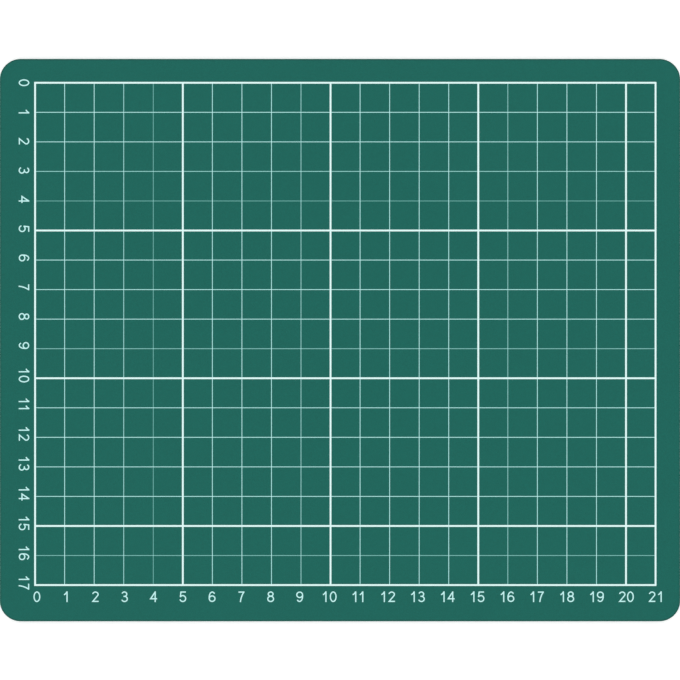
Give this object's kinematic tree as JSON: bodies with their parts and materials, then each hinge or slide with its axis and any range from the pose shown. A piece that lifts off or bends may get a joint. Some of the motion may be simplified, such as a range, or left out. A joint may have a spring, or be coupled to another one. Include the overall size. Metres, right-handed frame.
{
  "type": "self-healing cutting mat",
  "caption": "Flat green cutting mat of pressed PVC plies with round corners, printed with a white centimetre grid and scales for cutting and measuring small work.",
  "frame": {"origin": "centre of the underside of the bottom ply, where the mat lies on the table", "axes": "+X along the scale on the bottom edge, towards its high numbers; +Y along the mat's short side, towards the zero of the scale on the left edge; +Z out of the cutting face"},
  "size_m": [0.2304, 0.1904, 0.0031],
  "materials": {
    "soft_pvc": "matte",
    "core_pvc": "satin",
    "print_ink": "satin"
  },
  "bodies": {
    "root": {"bottom_ply": "soft_pvc", "core_ply": "core_pvc", "top_ply": "soft_pvc", "grid_print": "print_ink"}
  },
  "joints": []
}
